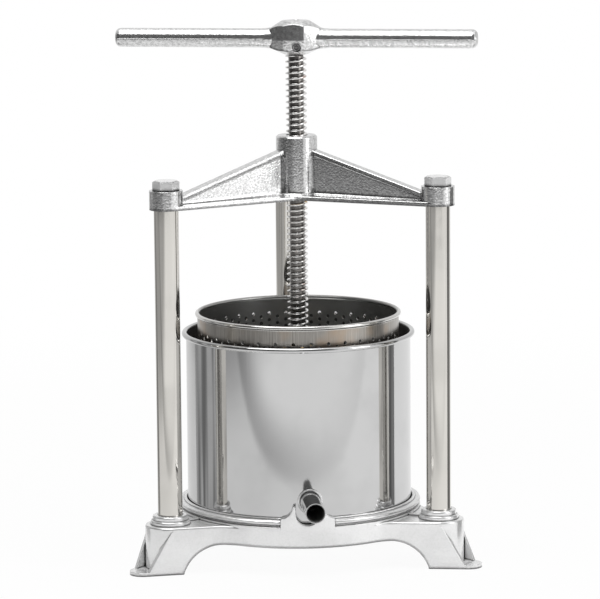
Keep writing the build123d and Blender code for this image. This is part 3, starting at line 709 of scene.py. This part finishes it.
# %% Finishes for the nodes
NODE_FINISH = {
    "base_casting": BASE_CAST,
    "crosshead": CROSSHEAD_CAST,
    "press_plate": CROSSHEAD_CAST,
    "handle": HANDLE_CAST,
    "post_tube": TUBE_STEEL,
    "pail_shell": PAIL_STEEL,
    "spout_tube": SPOUT_STEEL,
    "spout_collar": ZINC_STEEL,
    "basket": BASKET_STEEL,
    "screw": SCREW_STEEL,
    "tie": ZINC_STEEL,
    "plate": ZINC_STEEL,
    "handle_set_screw": ZINC_STEEL,
    "thread_bush": BRONZE,
    "thrust_washer": BRONZE,
}
for node_name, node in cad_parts.items():
    start = max((key for key in NODE_FINISH if node_name.startswith(key)), key=len)
    node.material_slots[0].material = NODE_FINISH[start]
print("finished CAD nodes:", len(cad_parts))

# %% [markdown]
# The screw is the one piece everybody looks at: a coarse thread with flat crests, six millimetres
# from turn to turn. The solid only has its outer cylinder. One pitch of the thread's outline is
# drawn as a short chain of vertices and spun about the axis, and every step also climbs a little.
# After a full turn the chain's lower end meets its own upper end, so merging the doubles closes the
# helix. That is lighter than a screw modifier on a full profile and it gives clean quads.

# %% Thread by a climbing spin
THREAD_PITCH = 0.006
THREAD_DEPTH = 0.0032
THREAD_CREST = 0.0014
THREAD_FLANK = 0.0012
THREAD_EDGE = 0.0003
THREAD_STEPS = 40
THREAD_LEAD = 0.007875
SPARE_TURNS = 2
MERGE_GAP = 1e-6


def add_chain(bm, points):
    """Vertices on the XZ plane, joined in order by edges."""
    verts = [bm.verts.new((r, 0, z)) for r, z in points]
    return verts + [bm.edges.new(pair) for pair in zip(verts, verts[1:])]


def everything(bm):
    return bm.verts[:] + bm.edges[:] + bm.faces[:]


def copy_to(bm, geom, offset):
    """A copy of some parts, moved by an offset."""
    copy = bmesh.ops.duplicate(bm, geom=geom)["geom"]
    bmesh.ops.translate(bm, verts=verts_in(copy), vec=offset)


def merge_doubles(bm):
    bmesh.ops.remove_doubles(bm, verts=bm.verts, dist=MERGE_GAP)


def thread_outline(crest_r):
    """One pitch of the thread as radius and height: root, rising flank, eased crest, falling flank."""
    root_r = crest_r - THREAD_DEPTH
    ease_r = crest_r - THREAD_EDGE
    crest_from = THREAD_PITCH - THREAD_FLANK - THREAD_CREST
    crest_to = THREAD_PITCH - THREAD_FLANK
    return [
        (root_r, 0),
        (root_r, crest_from - THREAD_FLANK),
        (ease_r, crest_from - THREAD_EDGE / 2),
        (crest_r, crest_from + THREAD_EDGE),
        (crest_r, crest_to - THREAD_EDGE),
        (ease_r, crest_to + THREAD_EDGE / 2),
        (root_r, THREAD_PITCH),
    ]


def spin_thread(bm, crest_r, bottom, top):
    """Helical surface that runs past both heights, so that it can be cut square there."""
    turns = math.ceil((top - bottom) / THREAD_PITCH) + SPARE_TURNS
    start = bottom - THREAD_LEAD
    chain = add_chain(bm, [(r, start + z) for r, z in thread_outline(crest_r)])
    bmesh.ops.spin(
        bm, geom=chain, cent=(0, 0, 0), axis=(0, 0, 1), angle=2 * math.pi,
        steps=THREAD_STEPS, dvec=(0, 0, THREAD_PITCH / THREAD_STEPS),
    )
    turn = everything(bm)
    for number in range(1, turns):
        copy_to(bm, turn, (0, 0, number * THREAD_PITCH))
    merge_doubles(bm)
    bmesh.ops.recalc_face_normals(bm, faces=bm.faces)
    return turns


print("thread in metres: pitch", THREAD_PITCH, "and depth", THREAD_DEPTH)

# %% [markdown]
# Both ends of the thread are cut square with a bisecting plane. The cut leaves a loop of edges, and
# a bridge joins it to the plain round journal below and to the spigot that the handle sits on.

# %% Screw ends
END_STEPS = 48
END_CHAMFER = 0.001
JOURNAL_R = 0.008
SMOOTH_ANGLE = math.radians(35)


def cut_square(bm, height, upwards):
    """Everything past the height goes; returns the loop of edges that the cut leaves."""
    cut = bmesh.ops.bisect_plane(
        bm, geom=everything(bm), plane_co=(0, 0, height), plane_no=(0, 0, upwards), clear_outer=True,
    )
    return edges_in(cut["geom_cut"])


def ring_edges(ring):
    """The edges of a ring of vertices, each one once."""
    return list(dict.fromkeys(edge for vert in ring for edge in vert.link_edges))


def add_plain_end(bm, loop, radius, start, end):
    """Round bar from the thread's cut loop to a chamfered end."""
    neck = radius - END_CHAMFER
    ring = bmesh.ops.create_circle(
        bm, segments=END_STEPS, radius=neck, matrix=Matrix.Translation((0, 0, start)))["verts"]
    edges = ring_edges(ring)
    bmesh.ops.bridge_loops(bm, edges=loop + edges)
    inwards = math.copysign(END_CHAMFER, start - end)
    for height, ring_r in ((start - inwards, radius), (end + inwards, radius), (end, neck)):
        verts, edges = grow_edges(bm, edges)
        for vert in verts:
            out = vert.co.xy.normalized() * ring_r
            vert.co = (out.x, out.y, height)
    bmesh.ops.contextual_create(bm, geom=edges)


def open_edges(bm):
    return sum(edge.is_boundary for edge in bm.edges)


def shade(piece, angle):
    """Smooth shading up to the given angle between faces."""
    piece.data.shade_smooth()
    piece.data.set_sharp_from_angle(angle=angle)


def finish_mesh(bm, name, material):
    """Object from a bmesh, with its normals outwards and shaded smooth."""
    bmesh.ops.recalc_face_normals(bm, faces=bm.faces)
    piece = place_mesh(bm, name, material)
    shade(piece, SMOOTH_ANGLE)
    return piece


def make_screw():
    low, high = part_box("screw")
    thread_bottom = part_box("thrust_washer")[1].z
    thread_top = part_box("handle")[0].z
    bm = bmesh.new()
    turns = spin_thread(bm, (high.x - low.x) / 2, thread_bottom, thread_top)
    lower = cut_square(bm, thread_bottom, -1)
    upper = cut_square(bm, thread_top, 1)
    add_plain_end(bm, lower, JOURNAL_R, thread_bottom, low.z)
    add_plain_end(bm, upper, JOURNAL_R, thread_top, high.z)
    print("screw:", turns, "turns spun,", len(bm.faces), "faces,", open_edges(bm), "open edges")
    return finish_mesh(bm, "threaded_screw", SCREW_STEEL)


threaded_screw = make_screw()
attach(threaded_screw, "screw")
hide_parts("screw")

# %% [markdown]
# The basket is a sheet with many hundred punched holes. One tile of sheet with one hole is made
# first: a circle whose edges are extruded out to a rectangle. Two columns of tiles, one of them
# half a tile lower, are bent round the axis and then spun as copies. Neighbouring tiles share their
# border vertices, so merging the doubles gives one closed sheet, and solidify gives it its
# thickness with the walls of the holes included. Eight sides are enough for holes this small.

# %% Perforated sheet from one tile
HOLE_COLUMNS = 72
HOLES_UP = 25
HOLE_STEP = 0.007
HOLE_R = 0.002
HOLE_SIDES = 8
HOLE_TURN = math.radians(3.4)


def towards_tile_edge(part):
    """Sine or cosine of a direction, spread evenly along the side of a square from -1 to 1."""
    return max(-1.0, min(1.0, 4 * math.asin(part) / math.pi))


def add_tile(bm, width, height):
    """Flat tile with a hole in its middle, two edges to a side."""
    ring = bmesh.ops.create_circle(bm, segments=HOLE_SIDES, radius=HOLE_R)["verts"]
    border, _ = grow_edges(bm, ring_edges(ring))
    for vert in border:
        way = vert.co.normalized()
        vert.co.x = towards_tile_edge(way.x) * width / 2
        vert.co.y = towards_tile_edge(way.y) * height / 2


def punch_sheet(bm, radius, first_row):
    """Two columns of tiles, staggered, bent to the radius and spun all round."""
    width = 2 * math.pi * radius / HOLE_COLUMNS
    add_tile(bm, width, HOLE_STEP)
    tile = everything(bm)
    for number in range(1, 2 * HOLES_UP):
        column, row = divmod(number, HOLES_UP)
        copy_to(bm, tile, (column * width, -(row + column / 2) * HOLE_STEP, 0))
    for vert in bm.verts:
        turn = HOLE_TURN + vert.co.x / radius
        vert.co = (radius * math.sin(turn), -radius * math.cos(turn), first_row + vert.co.y)
    copies = HOLE_COLUMNS // 2 - 1
    bmesh.ops.spin(
        bm, geom=everything(bm), cent=(0, 0, 0), axis=(0, 0, 1),
        angle=2 * math.pi * copies / (copies + 1), steps=copies, use_duplicate=True,
    )
    merge_doubles(bm)


def extend_sheet(bm, from_height, to_height):
    """Plain band of sheet from the border at one height to another height."""
    border = [e for e in bm.edges if e.is_boundary
              and all(abs(v.co.z - from_height) < MERGE_GAP for v in e.verts)]
    verts, _ = grow_edges(bm, border)
    for vert in verts:
        vert.co.z = to_height


print("sheet:", HOLE_COLUMNS * HOLES_UP, "holes of radius", HOLE_R)

# %% [markdown]
# The rim is rolled over a wire. A small circle spun once round the axis makes the roll, and the
# sheet ends inside it.

# %% Basket wall
FIRST_ROW_DROP = 0.0168
SHEET = 0.0012
RIM_WIRE = 0.0046
RIM_SIDES = 14
RIM_STEPS = 144


def spin_round(bm, geom, steps, axis=(0, 0, 1)):
    """A full turn about an axis through the origin, closed where it ends."""
    bmesh.ops.spin(
        bm, geom=geom, cent=(0, 0, 0), axis=axis, angle=2 * math.pi, steps=steps, use_merge=True,
    )


def add_rolled_rim(bm, radius, height):
    """Ring of round section on top of the wall."""
    place = Matrix.Translation((radius, 0, height)) @ Matrix.Rotation(math.pi / 2, 4, "X")
    ring = bmesh.ops.create_circle(bm, segments=RIM_SIDES, radius=RIM_WIRE / 2, matrix=place)["verts"]
    spin_round(bm, ring + ring_edges(ring), RIM_STEPS)


def make_basket_wall():
    low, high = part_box("basket_wall")
    radius = high.x - RIM_WIRE / 2
    rim_height = high.z - RIM_WIRE / 2
    first_row = rim_height - FIRST_ROW_DROP
    bm = bmesh.new()
    punch_sheet(bm, radius, first_row)
    top, bottom = first_row + HOLE_STEP / 2, first_row - HOLES_UP * HOLE_STEP
    extend_sheet(bm, first_row, top)
    extend_sheet(bm, bottom + HOLE_STEP / 2, bottom)
    merge_doubles(bm)
    extend_sheet(bm, top, rim_height)
    extend_sheet(bm, bottom, low.z)
    bmesh.ops.recalc_face_normals(bm, faces=bm.faces)
    bmesh.ops.solidify(bm, geom=bm.faces[:], thickness=SHEET)
    add_rolled_rim(bm, radius, rim_height)
    inner = min(vert.co.xy.length for vert in bm.verts)
    print("basket: inner radius", round(inner, 5), "open edges", open_edges(bm))
    return finish_mesh(bm, "perforated_basket_wall", BASKET_STEEL)


basket_wall = make_basket_wall()
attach(basket_wall, "basket")
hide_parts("basket_wall")

# %% [markdown]
# A grub screw in the hub's front locks the handle to the spindle. It is a short bar with a
# six-sided socket, and it sits a little below the hub's skin, so the hole shows as a dark ring. The
# bar's round end is inset, the inner ring is pulled to a hexagon, and its face is sunk.

# %% Grub screw
GRUB_HALF = 0.0025
GRUB_REACH = 0.0048
GRUB_CHAMFER = 0.0007
SOCKET_SIDES = 6
STEPS_PER_SIDE = 4
SOCKET_R = 0.0024
SOCKET_DEPTH = 0.003


def push_faces(bm, faces, offset):
    """Faces extruded by an offset."""
    grown = bmesh.ops.extrude_face_region(bm, geom=faces)["geom"]
    bmesh.ops.translate(bm, verts=verts_in(grown), vec=offset)


def ease_edges(bm, edges, offset, segments):
    bmesh.ops.bevel(
        bm, geom=edges, offset=offset, offset_type="OFFSET", affect="EDGES",
        segments=segments, profile=0.5, material=-1,
    )


def top_face(bm):
    return max(bm.faces, key=lambda face: face.calc_center_median().z)


def sink_socket(bm, radius):
    """Six-sided socket in the bar's upper face."""
    face = top_face(bm)
    bmesh.ops.inset_region(bm, faces=[face], thickness=radius - GRUB_CHAMFER - SOCKET_R)
    half_side = math.pi / SOCKET_SIDES
    for vert in face.verts:
        off = abs(math.atan2(vert.co.y, vert.co.x) % (2 * half_side) - half_side)
        vert.co.xy = vert.co.xy.normalized() * SOCKET_R / math.cos(half_side - off)
    push_faces(bm, [face], (0, 0, -SOCKET_DEPTH))
    bmesh.ops.delete(bm, geom=[face], context="FACES_ONLY")


def make_grub_screw():
    low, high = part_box("handle_set_screw")
    middle = (low + high) / 2
    radius = (high.z - low.z) / 2
    outwards = Vector((middle.x, middle.y, 0))
    back, front = outwards.length - GRUB_HALF, outwards.length + GRUB_HALF + GRUB_REACH
    bm = bmesh.new()
    bmesh.ops.create_circle(bm, cap_ends=True, segments=SOCKET_SIDES * STEPS_PER_SIDE, radius=radius)
    push_faces(bm, bm.faces[:], (0, 0, front - back))
    ease_edges(bm, top_face(bm).edges[:], GRUB_CHAMFER, segments=1)
    sink_socket(bm, radius)
    turn = outwards.to_track_quat("Z", "Y").to_matrix().to_4x4()
    place = Matrix.Translation(Vector((0, 0, middle.z)) + outwards.normalized() * back) @ turn
    bmesh.ops.transform(bm, matrix=place, verts=bm.verts)
    print("grub screw: radius", round(radius, 4), "open edges", open_edges(bm))
    return finish_mesh(bm, "socket_grub_screw", ZINC_STEEL)


grub_screw = make_grub_screw()
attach(grub_screw, "screw")
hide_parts("handle_set_screw")

# %% [markdown]
# The handle is one casting. Its hub is an eight-sided barrel, widest where the two halves of the
# mould met, with its ends turned to a cone as on a nut. The barrel grows ring by ring from its foot,
# and every extruded ring is scaled to the next width. The turned body is an outline, spun about the
# axis; what lies in both of them will be the hub.

# %% Handle: hub
HUB_SIDES = 8
HUB_RINGS = ((-0.017, 0.0253, 0.0186), (0, 0.0268, 0.0200), (0.021, 0.0253, 0.0184))
HUB_TURNED = (
    (0, -0.0155), (0.0125, -0.0155), (0.0275, -0.0085), (0.0305, 0), (0.0285, 0.0100), (0.0195, 0.0160),
    (0.0145, 0.0190), (0, 0.0197),
)
HUB_STEPS = 72
HUB_EASE = 0.0007


def make_barrel(place):
    bm = bmesh.new()
    height, wide, deep = HUB_RINGS[0]
    flats = Matrix.Rotation(math.pi / HUB_SIDES, 4, "Z")
    shape = Matrix.Translation((0, 0, height)) @ Matrix.Diagonal((wide, deep, 1, 1)) @ flats
    corner_r = 1 / math.cos(math.pi / HUB_SIDES)
    bmesh.ops.create_circle(bm, cap_ends=True, segments=HUB_SIDES, radius=corner_r, matrix=shape)
    edges = bm.edges[:]
    for low, high in zip(HUB_RINGS, HUB_RINGS[1:]):
        verts, edges = grow_edges(bm, edges)
        bmesh.ops.scale(bm, verts=verts, vec=(high[1] / low[1], high[2] / low[2], 1))
        bmesh.ops.translate(bm, verts=verts, vec=(0, 0, high[0] - low[0]))
    bmesh.ops.contextual_create(bm, geom=edges)
    bmesh.ops.recalc_face_normals(bm, faces=bm.faces)
    ease_edges(bm, bm.edges[:], HUB_EASE, segments=2)
    bmesh.ops.transform(bm, matrix=place, verts=bm.verts)
    return finish_mesh(bm, "cast_handle", HANDLE_CAST)


def make_turned(name, outline, steps, axis, place):
    """An outline on the XZ plane, spun about an axis."""
    bm = bmesh.new()
    spin_round(bm, add_chain(bm, outline), steps, axis)
    merge_doubles(bm)
    bmesh.ops.transform(bm, matrix=place, verts=bm.verts)
    return finish_mesh(bm, name, HANDLE_CAST)


print("hub: widest", [2 * size for size in HUB_RINGS[1][1:]])

# %% [markdown]
# Round arms run into the hub's narrow sides, and a thin plate that stands out a hair leaves the
# mould's seam along them. Booleans keep what is in both barrel and turned body, join arms and seam
# and cut the holes for spindle, dimple and grub screw, because all these skins cross at a slant.

# %% Handle: arms, seam and holes
HANDLE_TURN = math.radians(-12)
HUB_PARTING = -0.0008
ARM_OUTLINE = (
    (0.024, 0.0112), (0.030, 0.0104), (0.036, 0.0099), (0.184, 0.0098),
    (0.1865, 0.0091), (0.18833, 0.0073), (0.189, 0.0048), (0.189, 0.0),
)
ARM_STEPS = 48
ARM_SMOOTH = math.radians(12)
SEAM_SIZE = (0.372, 0.0204, 0.0009, 1)
HOLE_SLACK = 0.0001
DIMPLE_R = 0.0035
DIMPLE_DEPTH = 0.0025
CUTTER_LENGTH = 0.04


def combine(piece, tool, operation):
    """Joins a tool to the piece, cuts it out or keeps what both share; the tool is used up."""
    step = piece.modifiers.new(operation, "BOOLEAN")
    step.operation, step.object, step.solver = operation, tool, "EXACT"
    ready = piece.evaluated_get(bpy.context.evaluated_depsgraph_get())
    old, piece.data = piece.data, bpy.data.meshes.new_from_object(ready)
    piece.modifiers.remove(step)
    for mesh in (old, tool.data):
        bpy.data.meshes.remove(mesh)


def make_seam(place):
    bm = bmesh.new()
    bmesh.ops.create_cube(bm, size=1.0, matrix=place @ Matrix.Diagonal(SEAM_SIZE))
    return finish_mesh(bm, "seam", HANDLE_CAST)


def make_cutter(radius, start, end):
    """Round bar from one point to another."""
    bm = bmesh.new()
    way = end - start
    turn = way.to_track_quat("Z", "Y").to_matrix().to_4x4()
    bmesh.ops.create_cone(
        bm, cap_ends=True, segments=END_STEPS, radius1=radius, radius2=radius, depth=way.length,
        matrix=Matrix.Translation((start + end) / 2) @ turn,
    )
    return finish_mesh(bm, "cutter", HANDLE_CAST)


def make_handle():
    low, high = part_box("handle")
    middle = (low + high) / 2
    place = Matrix.Translation(middle) @ Matrix.Rotation(HANDLE_TURN, 4, "Z")
    parting = place @ Matrix.Translation((0, 0, HUB_PARTING))
    handle = make_barrel(parting)
    combine(handle, make_turned("turned_body", HUB_TURNED, HUB_STEPS, (0, 0, 1), parting), "INTERSECT")
    both_arms = [(-x, r) for x, r in reversed(ARM_OUTLINE)] + list(ARM_OUTLINE)
    combine(handle, make_turned("arms", both_arms, ARM_STEPS, (1, 0, 0), place), "UNION")
    combine(handle, make_seam(parting), "UNION")
    top = Vector((0, 0, middle.z + HUB_PARTING + HUB_TURNED[-1][1]))
    spigot_end = Vector((0, 0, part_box("screw")[1].z + HOLE_SLACK))
    below = Vector((0, 0, low.z - CUTTER_LENGTH))
    combine(handle, make_cutter(JOURNAL_R + HOLE_SLACK, below, spigot_end), "DIFFERENCE")
    deep, above = Vector((0, 0, -DIMPLE_DEPTH)), Vector((0, 0, CUTTER_LENGTH))
    combine(handle, make_cutter(DIMPLE_R, top + deep, top + above), "DIFFERENCE")
    screw_low, screw_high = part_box("handle_set_screw")
    screw_mid = (screw_low + screw_high) / 2
    inside = Vector((0, 0, screw_mid.z))
    outside = inside + (screw_mid - inside).normalized() * CUTTER_LENGTH
    screw_r = (screw_high.z - screw_low.z) / 2 + HOLE_SLACK
    combine(handle, make_cutter(screw_r, inside, outside), "DIFFERENCE")
    shade(handle, ARM_SMOOTH)
    return handle


cast_handle = make_handle()
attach(cast_handle, "screw")
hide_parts("handle")
print("handle:", len(cast_handle.data.polygons), "faces,", len(cast_handle.data.materials), "material")

# %% [markdown]
# Below the spout the real casting has no step: its front wall runs straight up from the skirt into
# two points beside the notch. The solid has the lip's narrow ledges there, so a thin wall covers
# them. Its outline is drawn flat and cut into upright strips, because only a face with strips can
# bend; then it gets its thickness and is bent to the skirt's radius. Its foot leans back a little and
# ends inside the skirt, so that no edge shows where the two meet.

# %% Front wall at the spout
WALL_R = 0.12714
WALL_T = 0.0045
WALL_HALF = 0.0279
WALL_BOTTOM = 0.044
WALL_TOP = 0.0598
LEAN_BELOW = 0.0496
LEAN = 0.1
POINT_TOP = 0.0726
POINT_TIP = 0.0152
POINT_FOOT = 0.0272
POINT_SAG = (0.0171, 0.0618)
SAG_SHARE = 2 / 3
NOTCH_R = 0.0127
NOTCH_FLOOR = 0.0526
CURVE_STEPS = 12
STRIP = 0.0022


def wall_outline():
    """Right half of the wall's front view, from the notch's lowest point to the lower corner."""
    points = []
    for step in range(CURVE_STEPS + 1):
        turn = math.pi / 2 * step / CURVE_STEPS
        points.append((NOTCH_R * math.sin(turn), NOTCH_FLOOR + NOTCH_R * (1 - math.cos(turn))))
    tip, foot, sag = (Vector(p) for p in ((POINT_TIP, POINT_TOP), (POINT_FOOT, WALL_TOP), POINT_SAG))
    curve = interpolate_bezier(tip, tip.lerp(sag, SAG_SHARE), foot.lerp(sag, SAG_SHARE), foot, CURVE_STEPS)
    points += [(NOTCH_R, POINT_TOP)] + [tuple(point.xy) for point in curve]
    return points + [(WALL_HALF, WALL_TOP), (WALL_HALF, WALL_BOTTOM)]


def make_front_wall():
    right = wall_outline()
    left = [(-x, z) for x, z in reversed(right[1:])]
    bm = bmesh.new()
    bm.faces.new([bm.verts.new((x, 0, z)) for x, z in right + left])
    cuts = [((0, 0, LEAN_BELOW), (0, 0, 1))]
    strips = int(2 * WALL_HALF / STRIP)
    cuts += [((STRIP * (number - strips / 2), 0, 0), (1, 0, 0)) for number in range(1, strips)]
    for place, normal in cuts:
        bmesh.ops.bisect_plane(bm, geom=everything(bm), plane_co=place, plane_no=normal)
    push_faces(bm, bm.faces[:], (0, WALL_T, 0))
    for vert in bm.verts:
        radius = WALL_R - vert.co.y - LEAN * max(0.0, LEAN_BELOW - vert.co.z)
        vert.co.y = -math.sqrt(radius ** 2 - vert.co.x ** 2)
    print("front wall:", len(bm.faces), "faces,", open_edges(bm), "open edges")
    return finish_mesh(bm, "spout_front_wall", BASE_CAST)


front_wall = make_front_wall()
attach(front_wall, "frame")
